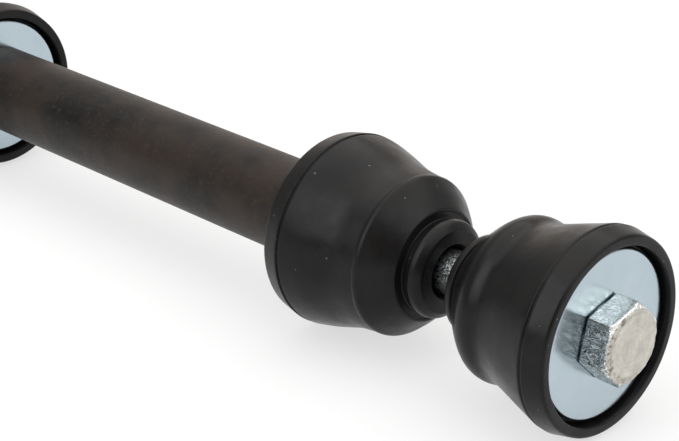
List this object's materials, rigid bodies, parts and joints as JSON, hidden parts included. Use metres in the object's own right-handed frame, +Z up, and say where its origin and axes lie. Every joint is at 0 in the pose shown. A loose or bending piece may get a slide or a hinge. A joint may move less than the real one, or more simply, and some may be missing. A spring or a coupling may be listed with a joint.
{
  "type": "stabilizer link",
  "caption": "Through-bolt stabilizer link: flared moulded bushings with recessed plated washers, held apart by a spacer sleeve and closed by a lock nut.",
  "frame": {"origin": "middle of the whole link, on the bolt's axis", "axes": "+X along the bolt towards its head, +Z up, the link lying level"},
  "size_m": [0.3034, 0.0448, 0.0448],
  "materials": {
    "bolt_zinc": "zinc plated, forged skin, satin",
    "washer_zinc": "clear zinc plate over stamped steel, faint blue sheen",
    "nut_zinc": "zinc plated, satin",
    "bushing_rubber": "satin black moulding",
    "sleeve_steel": "dark phosphated steel tube, lightly oiled",
    "insert_nylon": "natural nylon"
  },
  "bodies": {
    "bolt": {"link_bolt": "bolt_zinc"},
    "head_bushing": {"head_outer_bushing": "bushing_rubber", "head_washer": "washer_zinc"},
    "sleeve": {"spacer_sleeve": "sleeve_steel"},
    "head_inner": {"head_inner_bushing": "bushing_rubber", "head_sleeve_washer": "washer_zinc"},
    "nut_inner": {"nut_inner_bushing": "bushing_rubber", "nut_sleeve_washer": "washer_zinc"},
    "nut_seat": {"nut_washer": "washer_zinc"},
    "nut_bushing": {"nut_outer_bushing": "bushing_rubber"},
    "nut": {"lock_nut": "nut_zinc", "nut_insert": "insert_nylon"}
  },
  "joints": [
    {"name": "head_bushing_spin", "type": "hinge", "parent": "bolt", "child": "head_bushing", "pos_m": [0.14645, 0, 0], "axis": [1, 0, 0], "continuous": true},
    {"name": "sleeve_travel", "type": "slide", "parent": "bolt", "child": "sleeve", "axis": [1, 0, 0], "range_m": [-0.0055, 0.0063]},
    {"name": "head_inner_spin", "type": "hinge", "parent": "sleeve", "child": "head_inner", "pos_m": [0.06685, 0, 0], "axis": [1, 0, 0], "continuous": true},
    {"name": "nut_inner_spin", "type": "hinge", "parent": "sleeve", "child": "nut_inner", "pos_m": [-0.06115, 0, 0], "axis": [1, 0, 0], "continuous": true},
    {"name": "nut_travel", "type": "slide", "parent": "bolt", "child": "nut_seat", "axis": [1, 0, 0], "range_m": [-0.011, 0.0126]},
    {"name": "nut_bushing_spin", "type": "hinge", "parent": "nut_seat", "child": "nut_bushing", "pos_m": [-0.14075, 0, 0], "axis": [1, 0, 0], "continuous": true},
    {"name": "nut_turn", "type": "hinge", "parent": "nut_seat", "child": "nut", "pos_m": [-0.13925, 0, 0], "axis": [1, 0, 0], "range_deg": [-2640, 3024]}
  ],
  "couplings": [
    {"joint": "nut_turn", "follows": "nut_travel", "rad_per_m": 4188.8},
    {"joint": "sleeve_travel", "follows": "nut_travel", "ratio": 0.5}
  ]
}
